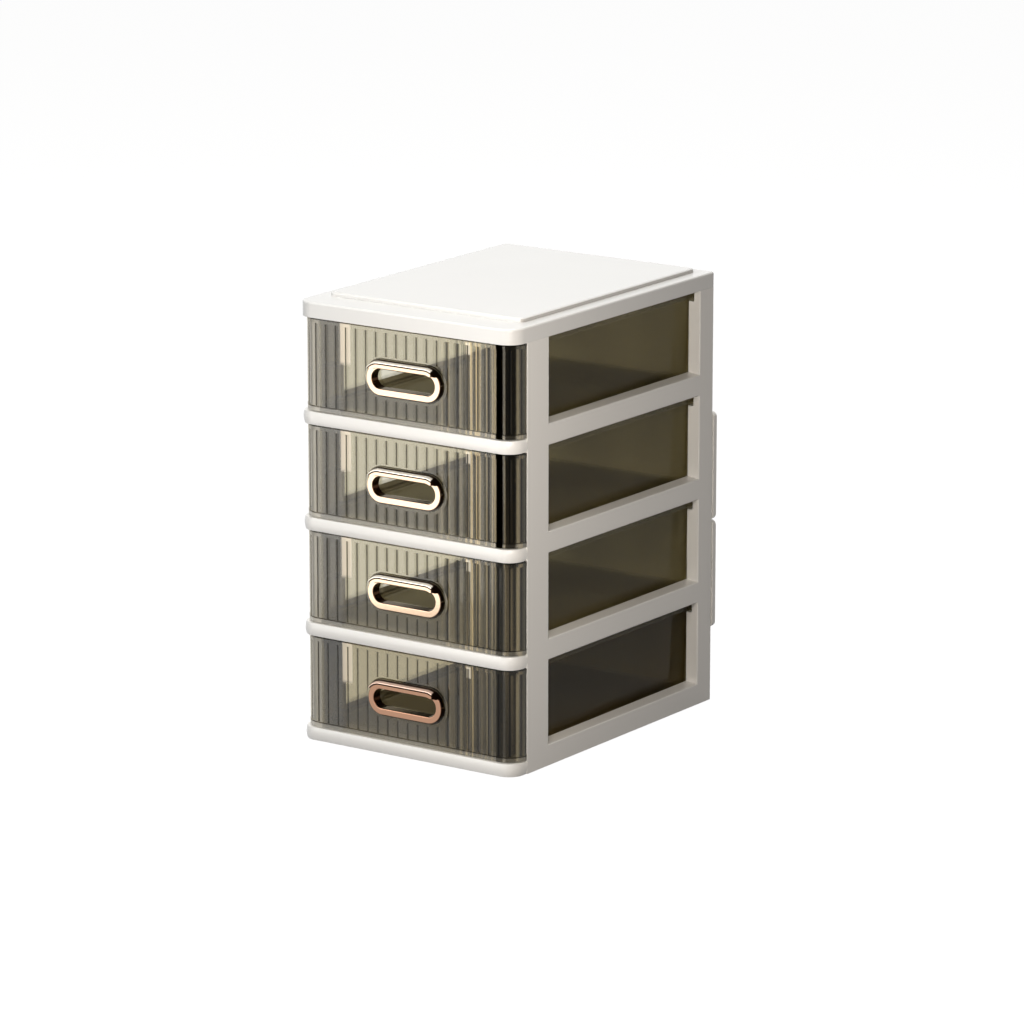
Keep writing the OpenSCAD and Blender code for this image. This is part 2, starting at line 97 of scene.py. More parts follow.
# Ramp between two results while the value crosses a span
def ramp(tree, value, span, results=(0.0, 1.0), smooth=True):
    node = addNode(tree, "ShaderNodeMapRange",
                   interpolation_type="SMOOTHSTEP" if smooth else "LINEAR")
    feed(node, Value=value, From_Min=span[0], From_Max=span[1], To_Min=results[0],
         To_Max=results[1])
    return node.outputs["Result"]


def fall(tree, value, span):
    return ramp(tree, value, span, (1.0, 0.0))


def objectPlace(tree):
    return addNode(tree, "ShaderNodeTexCoord").outputs["Object"]


def objectAxes(tree):
    split = addNode(tree, "ShaderNodeSeparateXYZ")
    plug(split.inputs[0], objectPlace(tree))
    return tuple(split.outputs)


def noise(tree, place, **values):
    return feed(addNode(tree, "ShaderNodeTexNoise"), Vector=place, **values).outputs["Fac"]


layoutSettings = {
    "columnWidth": 240,
    "rowHeight": 220,
}


# Lays a finished graph out in columns, every node left of those that it feeds
def arrange(tree):
    columns = {node.name: 0 for node in tree.nodes}
    settled = False
    while not settled:
        settled = True
        for wire in tree.links:
            source, target = wire.from_node.name, wire.to_node.name
            if columns[source] <= columns[target]:
                columns[source] = columns[target] + 1
                settled = False
    filled = {}
    for node in tree.nodes:
        column = columns[node.name]
        row = filled.get(column, 0)
        filled[column] = row + 1
        node.location = (-layoutSettings["columnWidth"] * column,
                         -layoutSettings["rowHeight"] * row)


# Kinds of the groups' sockets by name; all others carry a number
socketKinds = {
    "Color": "NodeSocketColor",
    "Normal": "NodeSocketVector",
    "Turn": "NodeSocketVector",
}


# Starts a group from its inputs with their defaults and the names of its outputs
def newGroup(name, inputs, outputs):
    group = bpy.data.node_groups.new(name, "ShaderNodeTree")
    for label, default in inputs.items():
        socket = group.interface.new_socket(name=label, in_out="INPUT",
                                            socket_type=socketKinds.get(label, "NodeSocketFloat"))
        socket.default_value = default
    for label in outputs:
        group.interface.new_socket(name=label, in_out="OUTPUT",
                                   socket_type=socketKinds.get(label, "NodeSocketFloat"))
    return group, addNode(group, "NodeGroupInput").outputs, addNode(group, "NodeGroupOutput")


skinSettings = {
    "drift": {"Scale": 14.0, "Detail": 3.0, "Roughness": 0.55},
    "peel": {"Detail": 2.0, "Roughness": 0.5},
    "peelHeight": 0.0002,
}


# Moulded skin: slow colour and gloss drift, fine orange peel
def makeMouldedSkin(settings):
    group, source, out = newGroup(
        "mouldedSkin",
        {"Color": (0.8, 0.8, 0.8, 1), "Drift": 0.02, "Roughness": 0.3, "Gloss Drift": 0.06,
         "Peel Scale": 900.0, "Peel Depth": 0.05},
        ("Color", "Roughness", "Normal", "Height"))
    place = objectPlace(group)
    swing = mathNode(group, "SUBTRACT", noise(group, place, **settings["drift"]), 0.5)
    peel = noise(group, place, Scale=source["Peel Scale"], **settings["peel"])
    tone = addNode(group, "ShaderNodeVectorMath", operation="SCALE")
    plug(tone.inputs[0], source["Color"])
    feed(tone, Scale=mathNode(group, "ADD", multiply(group, swing, source["Drift"]), 1.0))
    gloss = mathNode(group, "ADD", multiply(group, swing, source["Gloss Drift"]),
                     source["Roughness"], clamp=True)
    bump = feed(addNode(group, "ShaderNodeBump"), Distance=settings["peelHeight"],
                Strength=source["Peel Depth"], Height=peel)
    feed(out, Color=tone.outputs[0], Roughness=gloss, Normal=bump.outputs["Normal"], Height=peel)
    return group


edgeSettings = {
    "samples": 4,
    "bentSpan": (0.86, 0.99),    # cosine between the face and its rounded normal
}


# Soft edges: a normal that rounds sharp corners off, and a mask that marks them
def makeSoftEdges(settings):
    group, source, out = newGroup("softEdges", {"Radius": 0.0004}, ("Normal", "Mask"))
    rounded = addNode(group, "ShaderNodeBevel", samples=settings["samples"])
    feed(rounded, Radius=source["Radius"])
    facing = addNode(group, "ShaderNodeVectorMath", operation="DOT_PRODUCT")
    plug(facing.inputs[0], rounded.outputs[0])
    plug(facing.inputs[1], addNode(group, "ShaderNodeNewGeometry").outputs["Normal"])
    feed(out, Normal=rounded.outputs[0],
         Mask=fall(group, facing.outputs["Value"], settings["bentSpan"]))
    return group


hairlineSettings = {
    "stretch": (1.0, 1.0, 26.0),
    "grain": {"Detail": 4.0, "Roughness": 0.7, "Distortion": 0.4},
    "lineSpan": (0.58, 0.70),
}


# Handling marks: fine straight hairlines that dull the gloss
def makeHairlines(settings):
    group, source, out = newGroup("hairlines", {"Scale": 60.0, "Turn": (0, 0, 0), "Amount": 0.1},
                                  ("Mask",))
    turned = feed(addNode(group, "ShaderNodeMapping"), Vector=objectPlace(group),
                  Rotation=source["Turn"], Scale=settings["stretch"])
    grain = noise(group, turned.outputs["Vector"], Scale=source["Scale"], **settings["grain"])
    feed(out, Mask=multiply(group, ramp(group, grain, settings["lineSpan"]), source["Amount"]))
    return group


frontSettings = {
    "straight": 0.0749,                 # half the width of the flat part
    "centreY": -0.1058,                 # middle of the corners' bends
    "radius": 0.0148,
    "frontSpan": (-0.1068, -0.1060),    # in Y, where the front ends
    "skinSpan": (0.00115, 0.0014),      # depths below the crests of the flutes
    "grooveSpan": (0.0007, 0.00092),
    "slopeSpan": (0.00025, 0.0008),
    "rightSpan": (-0.01, 0.01),
    "bendStart": (-0.10, -0.03),        # in radii beyond the flat part, where the bend's painted shade and painted light line lie
    "bendEnd": (0.72, 0.86),
    "lineStart": (0.25, 0.30),
    "lineEnd": (0.36, 0.42),
    "pastLine": 0.90,                   # painted shade left beyond the painted light line
    "lineCut": 0.82,
    "returnSpan": (0.80, 0.90),
}


# Places on a drawer front: grooves, flanks and outer skin, and its right bend, where painted shade
# stands in for the thick refracting corner, with a painted light line across it and a darker return
# beyond
def makeFrontShape(settings):
    group, source, out = newGroup(
        "frontShape",
        {"Straight": settings["straight"], "Centre Y": settings["centreY"],
         "Radius": settings["radius"]},
        ("Groove", "Slope", "Outer", "Bend", "Line", "Return", "Front"))
    x, y = objectAxes(group)[:2]
    beyond = mathNode(group, "SUBTRACT", mathNode(group, "ABSOLUTE", x), source["Straight"])
    across = largest(group, beyond, 0.0)
    ahead = mathNode(group, "MINIMUM", mathNode(group, "SUBTRACT", y, source["Centre Y"]), 0.0)
    depth = mathNode(group, "SUBTRACT", source["Radius"], lengthOf(group, across, ahead))
    front = fall(group, y, settings["frontSpan"])
    outer = multiply(group, fall(group, depth, settings["skinSpan"]), front)
    groove = multiply(group, ramp(group, depth, settings["grooveSpan"]), outer)
    slope = multiply(group, ramp(group, depth, settings["slopeSpan"]), outer)
    rightSkin = multiply(group, ramp(group, x, settings["rightSpan"]), outer)
    turned = mathNode(group, "DIVIDE", beyond, source["Radius"])
    bent = multiply(group, ramp(group, turned, settings["bendStart"]),
                    fall(group, turned, settings["bendEnd"]))
    line = multiply(group, ramp(group, turned, settings["lineStart"]),
                    fall(group, turned, settings["lineEnd"]))
    shade = multiply(group, ramp(group, turned, settings["lineEnd"], (1.0, settings["pastLine"])),
                     bent)
    dark = mathNode(group, "SUBTRACT", shade, multiply(group, line, settings["lineCut"]),
                    clamp=True)
    feed(out, Groove=groove, Slope=slope, Outer=outer, Front=front,
         Bend=multiply(group, dark, rightSkin), Line=multiply(group, line, rightSkin),
         Return=multiply(group, ramp(group, turned, settings["returnSpan"]), rightSkin))
    return group


reachSettings = {
    "pitch": 0.0744,          # from tier to tier
    "height": 0.0392,         # middle of the pull in its tier
    "halfLength": 0.01915,    # straight part of its middle line
}


# Distance from the middle line of the nearest pull, on every tier
def makePullReach(settings):
    group, source, out = newGroup(
        "pullReach",
        {"Pitch": settings["pitch"], "Height": settings["height"],
         "Half Length": settings["halfLength"]},
        ("Reach", "X", "Y", "Above", "Tier Height"))
    x, y, z = objectAxes(group)
    beyond = mathNode(group, "SUBTRACT", mathNode(group, "ABSOLUTE", x), source["Half Length"])
    across = largest(group, beyond, 0.0)
    tierHeight = mathNode(group, "MODULO", z, source["Pitch"])
    above = mathNode(group, "SUBTRACT", tierHeight, source["Height"])
    feed(out, Reach=lengthOf(group, across, above), X=x, Y=y, Above=above, Tier_Height=tierHeight)
    return group


# Soft-edged band between two places along one direction
def makeBand():
    group, source, out = newGroup("band", {"Value": 0.0, "From": 0.0, "To": 1.0, "Soft": 0.001},
                                  ("Mask",))
    middle = multiply(group, mathNode(group, "ADD", source["From"], source["To"]), 0.5)
    half = mathNode(group, "SUBTRACT", source["To"], middle)
    off = mathNode(group, "ABSOLUTE", mathNode(group, "SUBTRACT", source["Value"], middle))
    share = mathNode(group, "DIVIDE", mathNode(group, "SUBTRACT", half, off), source["Soft"])
    feed(out, Mask=mathNode(group, "ADD", share, 0.5, clamp=True))
    return group


streakSettings = {
    "grain": {"Detail": 2.0, "Roughness": 0.55},
    "drop": 0.004,    # the smaller, the straighter they run down
}


# Streaks that run down a drawer front, as flow lines and uneven flutes give; they carry painted
# shade and painted glints
def makeStreaks(settings):
    group, source, out = newGroup(
        "streaks", {"Scale": 300.0, "Low": 0.5, "High": 0.6, "From X": 0.02, "To X": 0.05},
        ("Mask",))
    x, y, z = objectAxes(group)
    place = feed(addNode(group, "ShaderNodeCombineXYZ"), X=mathNode(group, "SUBTRACT", x, y),
                 Z=multiply(group, z, settings["drop"]))
    grain = noise(group, place.outputs[0], Scale=source["Scale"], **settings["grain"])
    feed(out, Mask=multiply(group, ramp(group, grain, (source["Low"], source["High"])),
                            ramp(group, x, (source["From X"], source["To X"]))))
    return group


mouldedSkin = makeMouldedSkin(skinSettings)
hairlines = makeHairlines(hairlineSettings)
softEdges = makeSoftEdges(edgeSettings)
frontShape = makeFrontShape(frontSettings)
pullReach = makePullReach(reachSettings)
streaks = makeStreaks(streakSettings)
band = makeBand()
for group in (mouldedSkin, hairlines, softEdges, frontShape, pullReach, streaks, band):
    arrange(group)
print("shared effects built")


def newMaterial(name):
    material = bpy.data.materials.new(name)
    material.use_nodes = True
    material.node_tree.nodes.clear()
    return material, material.node_tree


def placeGroup(tree, group, **values):
    return feed(addNode(tree, "ShaderNodeGroup", node_tree=group), **values).outputs


def bandMask(tree, value, span, soft):
    return placeGroup(tree, band, Value=value, From=span[0], To=span[1], Soft=soft)["Mask"]


def mixColor(tree, below, mask, color, blend="MIX"):
    mix = addNode(tree, "ShaderNodeMix", data_type="RGBA", blend_type=blend)
    return feed(mix, A=below, B=color, Factor=mask).outputs["Result"]


def shaderNode(tree, kind, **values):
    return feed(addNode(tree, kind), **values).outputs[0]


def mixShaders(tree, share, first, second):
    mix = addNode(tree, "ShaderNodeMixShader")
    for target, value in zip(mix.inputs, (share, first, second)):
        plug(target, value)
    return mix.outputs[0]


def closeGraph(tree, kind="ShaderNodeOutputMaterial", **values):
    feed(addNode(tree, kind), **values)
    arrange(tree)


# Shared by the three whites
whiteSettings = {
    "skin": {"Gloss_Drift": 0.04, "Peel_Scale": 420.0, "Peel_Depth": 0.08},
    "marks": {"Scale": 40.0, "Turn": (0.3, 0.2, 0.9)},
    "rub": 0.16,    # roughness that handling adds along edges
    "bump": {"Strength": 0.10, "Distance": 0.0002},
    "shader": {"IOR": 1.5, "Coat_Weight": 0.25, "Coat_Roughness": 0.18},
}

frameWhiteSettings = {
    "color": (0.86, 0.85, 0.825),
    "roughness": 0.34,
    "drift": 0.03,
    "scuff": 0.06,
    "edgeRadius": 0.00035,
}

stripWhiteSettings = {
    "color": (0.90, 0.895, 0.875),
    "roughness": 0.30,
    "drift": 0.02,
    "scuff": 0.06,
    "edgeRadius": 0.00035,
}

coverWhiteSettings = {
    "color": (0.785, 0.785, 0.775),
    "roughness": 0.26,
    "drift": 0.02,
    "scuff": 0.0,
    "edgeRadius": 0.0002,
    "foot": {                              # shade at the foot of the plateau's side walls
        "wallSpan": (0.0780, 0.0784),
        "heightSpan": (0.3085, 0.3106),
        "soft": 0.0002,
        "tint": (0.58, 0.56, 0.54),
    },
}


def darkenFoot(tree, color, settings):
    axes = objectAxes(tree)
    wall = ramp(tree, mathNode(tree, "ABSOLUTE", axes[0]), settings["wallSpan"])
    foot = multiply(tree, wall, bandMask(tree, axes[2], settings["heightSpan"], settings["soft"]))
    return mixColor(tree, color, foot, settings["tint"], "MULTIPLY")


# Glossy white moulding, rubbed dull along its edges
def makeWhitePlastic(name, settings, shared):
    material, tree = newMaterial(name)
    skin = placeGroup(tree, mouldedSkin, Color=settings["color"], Roughness=settings["roughness"],
                      Drift=settings["drift"], **shared["skin"])
    marks = placeGroup(tree, hairlines, Amount=settings["scuff"], **shared["marks"])
    edges = placeGroup(tree, softEdges, Radius=settings["edgeRadius"])
    bump = feed(addNode(tree, "ShaderNodeBump"), Height=skin["Height"], Normal=edges["Normal"],
                **shared["bump"])
    color = skin["Color"]
    if "foot" in settings:
        color = darkenFoot(tree, color, settings["foot"])
    worn = mathNode(tree, "ADD", skin["Roughness"], marks["Mask"])
    rough = mathNode(tree, "ADD", worn, multiply(tree, edges["Mask"], shared["rub"]))
    closeGraph(tree, Surface=shaderNode(tree, "ShaderNodeBsdfPrincipled", Base_Color=color,
                                        Roughness=rough, Normal=bump.outputs["Normal"],
                                        **shared["shader"]))
    return material


tintSettings = {
    "absorb": {"Color": (0.44, 0.37, 0.06), "Density": 178.0},
    # the skin's colour is that of the haze all over
    "skin": {"Color": (0.40, 0.36, 0.25), "Roughness": 0.06, "Drift": 0.3, "Gloss_Drift": 0.08,
             "Peel_Scale": 160.0, "Peel_Depth": 0.12},
    # streaks of painted shade, and of painted glints
    "darkStreaks": {"Scale": 330.0, "Low": 0.52, "High": 0.62, "From_X": 0.015, "To_X": 0.05},
    "lightStreaks": {"Scale": 420.0, "Low": 0.50, "High": 0.62, "From_X": 0.02, "To_X": 0.04},
    # painted shadow line round a pull: distance from the pull's middle line, half width
    "pullLine": 0.0119,
    "pullLineSpan": (0.0006, 0.0009),
    # painted shadow on the front above a pull's hood
    "hoodLineSpan": (0.0131, 0.0140),
    "hoodHeightSpan": (0.004, 0.007),
    # right of this the flanks of the flutes take deeper painted shade
    "rightSpan": (0.024, 0.034),
    # painted shadow lines along the front's lower and upper edges, and the lip below, by height in
    # the tier
    "footSpan": (0.0124, 0.0131),
    "headSpan": (0.0729, 0.0740),
    "lipSpan": (0.0090, 0.0122),
    "lineSoft": 0.0003,
    "upperSpan": (0.140, 0.156),       # above this the painted shade on the bend is darkest
    "lowBend": 0.62,
    # painted shade on the tub's walls, towards the bottom and towards the rear
    "lowSpan": (0.06, 0.09),
    "rearSpan": (0.02, 0.08),
    "flowSpan": (0.060, 0.100),        # below this the painted glints along the flow lines are fainter
    "lowFlow": 0.7,
    # painted pale light on the front, strongest on the left
    "mistSpan": (0.0, 0.05),
    "mistEnd": 0.3,
    # heights of the painted peach highlight and of the painted glints
    "peachHeightSpan": (0.004, 0.008),
    "glintHeightSpan": (0.0640, 0.0722),
    "glintHeightSoft": 0.001,
    # painted highlight along the tub's edges: radius of the rounding that finds them
    "edgeGlintRadius": 0.0006,
    "veil": 0.03,                      # haze all over, to which the painted highlights and hazes below are added
    "veilRoughness": 0.4,
    "smallestHaze": 0.0001,            # keeps a division from zero
    "fresnel": 1.49,
    "frontMirror": 0.80,
    "sideMirror": 0.22,
    "mirrorColor": (1.0, 0.965, 0.90),
    # what each place lets through, in the order in which they darken the plastic; all but the outer
    # skin are painted shade
    "tints": {
        "outer": (0.93, 0.91, 0.88),
        "lines": (0.15, 0.13, 0.08),
        "slope": (0.86, 0.86, 0.84),
        "streak": (0.62, 0.63, 0.60),
        "deepSlope": (0.36, 0.34, 0.26),
        "foot": (0.18, 0.16, 0.12),
        "head": (0.13, 0.09, 0.03),
        "bend": (0.055, 0.045, 0.015),
        "return": (0.42, 0.43, 0.42),
        "low": (0.88, 0.86, 0.81),
        "rear": (0.92, 0.92, 0.91),
    },
    # upright runs of painted light on the front: span in X, softness
    "runs": {
        "goldGlint": ((0.0475, 0.0605), 0.002),
        "left": ((-0.0900, -0.0806), 0.0006),
        "peach": ((-0.0545, -0.046), 0.001),
        "pale": ((-0.081, -0.0722), 0.001),
        "cool": ((-0.0722, -0.0545), 0.001),
        "glint": ((0.0495, 0.0530), 0.0008),
    },
    # painted glints, highlights and pale light, and the hazed lip, in the order in which they are
    # laid: share, colour
    "hazesAndGlints": {
        "flowGlint": (0.22, (0.88, 0.70, 0.38)),
        "goldGlint": (0.24, (0.90, 0.66, 0.26)),
        "mistLight": (0.11, (0.55, 0.58, 0.60)),
        "left": (0.20, (1.0, 0.99, 0.96)),
        "peach": (0.60, (1.0, 0.86, 0.66)),
        "pale": (0.26, (0.80, 0.77, 0.70)),
        "cool": (0.05, (0.46, 0.54, 0.64)),
        "glint": (0.55, (1.0, 0.92, 0.74)),
        "lip": (0.16, (0.80, 0.77, 0.70)),
        "edgeGlint": (0.22, (0.75, 0.70, 0.52)),
        "line": (0.005, (0.80, 0.77, 0.70)),
    },
}


# Masks of the places on a drawer that its tints follow: the outer skin, and painted shade in all
# the others
def tintMasks(tree, settings, shape, pull, axes, notFront):
    y, z = axes[1:]
    outer, tierHeight = shape["Outer"], pull["Tier Height"]
    off = mathNode(tree, "ABSOLUTE",
                   mathNode(tree, "SUBTRACT", pull["Reach"], settings["pullLine"]))
    roundPull = fall(tree, off, settings["pullLineSpan"])
    hoodLine = bandMask(tree, pull["Reach"], settings["hoodLineSpan"], settings["lineSoft"])
    overHood = multiply(tree, hoodLine, ramp(tree, pull["Above"], settings["hoodHeightSpan"]))
    rim = multiply(tree, largest(tree, roundPull, overHood), outer)
    streak = placeGroup(tree, streaks, **settings["darkStreaks"])["Mask"]
    strength = ramp(tree, z, settings["upperSpan"], (settings["lowBend"], 1.0))
    return {
        "outer": outer,
        "lines": largest(tree, shape["Groove"], rim),
        "slope": shape["Slope"],
        "streak": multiply(tree, streak, outer),
        "deepSlope": multiply(tree, shape["Slope"], ramp(tree, pull["X"], settings["rightSpan"])),
        "foot": multiply(tree, outer,
                         bandMask(tree, tierHeight, settings["footSpan"], settings["lineSoft"])),
        "head": multiply(tree, outer,
                         bandMask(tree, tierHeight, settings["headSpan"], settings["lineSoft"])),
        "bend": multiply(tree, shape["Bend"], strength),
        "return": shape["Return"],
        "low": multiply(tree, notFront, fall(tree, z, settings["lowSpan"])),
        "rear": multiply(tree, notFront, ramp(tree, y, settings["rearSpan"])),
    }


# Masks of the painted light and the hazed lip: glints along flow lines, upright runs of painted
# light, the front's lower lip, painted highlights along the tub's edges and the bend's painted
# light line
def glintAndHazeMasks(tree, settings, shape, pull, axes, notFront):
    x, z = axes[0], axes[2]
    outer, tierHeight = shape["Outer"], pull["Tier Height"]
    runs = {name: bandMask(tree, x, *run) for name, run in settings["runs"].items()}
    streak = placeGroup(tree, streaks, **settings["lightStreaks"])["Mask"]
    flowGlint = multiply(tree, multiply(tree, streak, outer),
                    ramp(tree, z, settings["flowSpan"], (settings["lowFlow"], 1.0)))
    upper = ramp(tree, pull["Above"], settings["peachHeightSpan"])
    glintHeight = bandMask(tree, tierHeight, settings["glintHeightSpan"],
                           settings["glintHeightSoft"])
    edges = placeGroup(tree, softEdges, Radius=settings["edgeGlintRadius"])
    return {
        "flowGlint": flowGlint,
        "goldGlint": multiply(tree, runs["goldGlint"], flowGlint),
        "mistLight": multiply(tree, ramp(tree, x, settings["mistSpan"], (1.0, settings["mistEnd"])),
                         outer),
        "left": multiply(tree, runs["left"], outer),
        "peach": multiply(tree, runs["peach"], multiply(tree, upper, outer)),
        "pale": multiply(tree, runs["pale"], outer),
        "cool": multiply(tree, runs["cool"], outer),
        "glint": multiply(tree, runs["glint"], multiply(tree, outer, glintHeight)),
        "lip": multiply(tree, outer,
                        bandMask(tree, tierHeight, settings["lipSpan"], settings["lineSoft"])),
        "edgeGlint": multiply(tree, edges["Mask"], notFront),
        "line": shape["Line"],
    }


# Colour and total share of all hazes and painted lights together
def mixGlintsAndHazes(tree, settings, color, masks):
    total = settings["veil"]
    for name, (share, hazeColor) in settings["hazesAndGlints"].items():
        added = multiply(tree, masks[name], share)
        total = mathNode(tree, "ADD", total, added, clamp=True)
        part = mathNode(tree, "DIVIDE", added, largest(tree, total, settings["smallestHaze"]))
        color = mixColor(tree, color, part, hazeColor)
    return color, total


# Clear tinted moulding: light goes straight through, the wall's thickness colours it; painted shade
# and painted highlights stand in for what the flutes and thick corners refract
def makeTintedPlastic(name, settings):
    material, tree = newMaterial(name)
    skin = placeGroup(tree, mouldedSkin, **settings["skin"])
    shape = placeGroup(tree, frontShape)
    pull = placeGroup(tree, pullReach)
    axes = objectAxes(tree)
    notFront = opposite(tree, shape["Front"])
    tints = tintMasks(tree, settings, shape, pull, axes, notFront)
    tint = (1, 1, 1)
    for place, color in settings["tints"].items():
        tint = mixColor(tree, tint, tints[place], color, "MULTIPLY")
    clear = shaderNode(tree, "ShaderNodeBsdfTransparent", Color=tint)

    hazesAndGlints = glintAndHazeMasks(tree, settings, shape, pull, axes, notFront)
    color, total = mixGlintsAndHazes(tree, settings, skin["Color"], hazesAndGlints)
    veil = shaderNode(tree, "ShaderNodeBsdfPrincipled", Base_Color=color,
                      Roughness=settings["veilRoughness"])
    # no haze where the painted shade is darkest
    dark = largest(tree, tints["foot"], tints["head"])
    dark = largest(tree, tints["bend"], largest(tree, tints["lines"], dark))
    body = mixShaders(tree, multiply(tree, total, opposite(tree, dark)), clear, veil)

    mirror = shaderNode(tree, "ShaderNodeBsdfPrincipled", Metallic=1.0,
                        Base_Color=settings["mirrorColor"], Roughness=skin["Roughness"],
                        Normal=skin["Normal"])
    fresnel = feed(addNode(tree, "ShaderNodeFresnel"), IOR=settings["fresnel"]).outputs[0]
    back = addNode(tree, "ShaderNodeNewGeometry").outputs["Backfacing"]
    strength = ramp(tree, shape["Front"], (0.0, 1.0),
                    (settings["sideMirror"], settings["frontMirror"]), smooth=False)
    # the painted shade on the bend also takes the reflection away there
    strength = multiply(tree, strength, opposite(tree, tints["bend"]))
    share = mathNode(tree, "MULTIPLY", multiply(tree, fresnel, opposite(tree, back)), strength,
                     clamp=True)
    closeGraph(tree, Surface=mixShaders(tree, share, body, mirror),
               Volume=shaderNode(tree, "ShaderNodeVolumeAbsorption", **settings["absorb"]))
    return material


platingSettings = {
    "skin": {"Color": (0.59, 0.425, 0.30), "Roughness": 0.12, "Drift": 0.08, "Gloss_Drift": 0.08,
             "Peel_Scale": 420.0, "Peel_Depth": 0.05},
    "marks": {"Scale": 120.0, "Turn": (0.1, 1.2, 0.2), "Amount": 0.08},
    "insideSpan": (0.0071, 0.0073),      # distances from the middle line
    "outsideSpan": (0.0110, 0.0112),
    "behindSpan": (-0.1239, -0.1236),    # in Y, behind the face of the ring
    "hoodSpan": (-0.1242, -0.1240),      # the hood lies in front of this
    "aboveSpan": (0.0, 0.002),
    "creaseSpan": (0.0105, 0.0114),      # between the hood's top and its lip
    "creaseSoft": 0.0002,
    "browSpan": (0.0114, 0.0115),
    "rootSpan": (0.0125, 0.0127),
    "endSpan": (0.0243, 0.0249),         # painted shade on the hood's right end starts here
    # painted highlight on the hood's top
    "browHighlight": (1.0, 0.94, 0.84),
    "browSatin": 0.46,                   # roughness added on the hood's top
    "creviceShade": (0.10, 0.06, 0.04),       # painted shade left in the sleeve, the crease and along the ring's edges
    "deepestShadeTint": (0.05, 0.035, 0.025),  # darkest painted shade, left at the hood's root, end and crease
    "lowSpan": (0.06, 0.08),
    "lowPullShade": (0.74, 0.585, 0.54),      # painted shade that turns the lowest pull a darker copper; the others stay pale rose
}


# Masks of a pull's top, which takes a painted highlight, and of the painted shade in its crevices
# and round its hood
def pullMasks(tree, settings):
    place = placeGroup(tree, pullReach)
    reach, y = place["Reach"], place["Y"]
    hood = fall(tree, y, settings["hoodSpan"])
    inside = fall(tree, reach, settings["insideSpan"])
    outside = multiply(tree, opposite(tree, hood), ramp(tree, reach, settings["outsideSpan"]))
    edge = multiply(tree, largest(tree, inside, outside), ramp(tree, y, settings["behindSpan"]))
    above = ramp(tree, place["Above"], settings["aboveSpan"])
    brow = multiply(tree, above, ramp(tree, reach, settings["browSpan"]))
    root = multiply(tree, above, ramp(tree, reach, settings["rootSpan"]))
    crease = multiply(tree, hood,
                      bandMask(tree, reach, settings["creaseSpan"], settings["creaseSoft"]))
    end = multiply(tree, largest(tree, hood, brow), ramp(tree, place["X"], settings["endSpan"]))
    keptEdge = multiply(tree, edge, opposite(tree, brow))
    creviceShade = largest(tree, largest(tree, keptEdge, crease), end)
    deepestShade = largest(tree, root, largest(tree, end, crease))
    return brow, creviceShade, deepestShade


# Plated metal finish, with painted shade in the sleeve, along the rounded edges of the ring and
# under the hood, a painted highlight on the hood's top and painted shade on the lowest pull
def makePlating(name, settings):
    material, tree = newMaterial(name)
    skin = placeGroup(tree, mouldedSkin, **settings["skin"])
    marks = placeGroup(tree, hairlines, **settings["marks"])
    brow, creviceShade, deepestShade = pullMasks(tree, settings)
    color = mixColor(tree, skin["Color"], brow, settings["browHighlight"])
    color = mixColor(tree, color, creviceShade, settings["creviceShade"], "MULTIPLY")
    color = mixColor(tree, color, deepestShade, settings["deepestShadeTint"], "MULTIPLY")
    lowest = fall(tree, objectAxes(tree)[2], settings["lowSpan"])
    color = mixColor(tree, color, lowest, settings["lowPullShade"], "MULTIPLY")
    worn = mathNode(tree, "ADD", skin["Roughness"], marks["Mask"])
    rough = mathNode(tree, "ADD", worn, multiply(tree, brow, settings["browSatin"]))
    closeGraph(tree, Surface=shaderNode(tree, "ShaderNodeBsdfPrincipled", Metallic=1.0,
                                        Base_Color=color, Roughness=rough, Normal=skin["Normal"]))
    return material


whiteFrame = makeWhitePlastic("whiteFrame", frameWhiteSettings, whiteSettings)
whiteStrip = makeWhitePlastic("whiteStrip", stripWhiteSettings, whiteSettings)
whiteCover = makeWhitePlastic("whiteCover", coverWhiteSettings, whiteSettings)
tintedPlastic = makeTintedPlastic("tintedPlastic", tintSettings)
rosePlating = makePlating("rosePlating", platingSettings)
print("materials built")

# Material by the start of a node's name; the side frames, back and ties take the frame's white
finishes = {
    "drawer": tintedPlastic,
    "pull": rosePlating,
    "top_cover": whiteCover,
    "base": whiteStrip,
    "divider": whiteStrip,
}

for name, node in frame["nodes"].items():
    finish = next((finishes[start] for start in finishes if name.startswith(start)), whiteFrame)
    for place in node.material_slots:
        place.material = finish
print("nodes dressed")


# True for what the eye sees straight, in a gloss or through the plastic
def isSeen(tree):
    path = addNode(tree, "ShaderNodeLightPath").outputs
    seen = largest(tree, path["Is Camera Ray"], path["Is Glossy Ray"])
    return largest(tree, seen, path["Is Transmission Ray"])


floorSettings = {
    "size": 24.0,
    "bounce": 0.12,        # what the floor gives back to the object
    "glow": 0.96,          # plain white that the eye and reflections see
    "shadowShare": 0.12,   # how much of the cast shadow shows
}


def makeFloor(settings):
    bm = bmesh.new()
    bmesh.ops.create_grid(bm, x_segments=1, y_segments=1, size=settings["size"] / 2)
    mesh = bpy.data.meshes.new("studioFloor")
    bm.to_mesh(mesh)
    bm.free()
    floor = bpy.data.objects.new("studioFloor", mesh)
    scene.collection.objects.link(floor)
    material, tree = newMaterial("studioPaper")
    bounce = shaderNode(tree, "ShaderNodeBsdfDiffuse", Color=(settings["bounce"],) * 3)
    shadow = shaderNode(tree, "ShaderNodeBsdfDiffuse", Color=(settings["shadowShare"],) * 3)
    glow = shaderNode(tree, "ShaderNodeEmission", Strength=settings["glow"])
    lit = addNode(tree, "ShaderNodeAddShader")
    plug(lit.inputs[0], shadow)
    plug(lit.inputs[1], glow)
    closeGraph(tree, Surface=mixShaders(tree, isSeen(tree), bounce, lit.outputs[0]))
    mesh.materials.append(material)


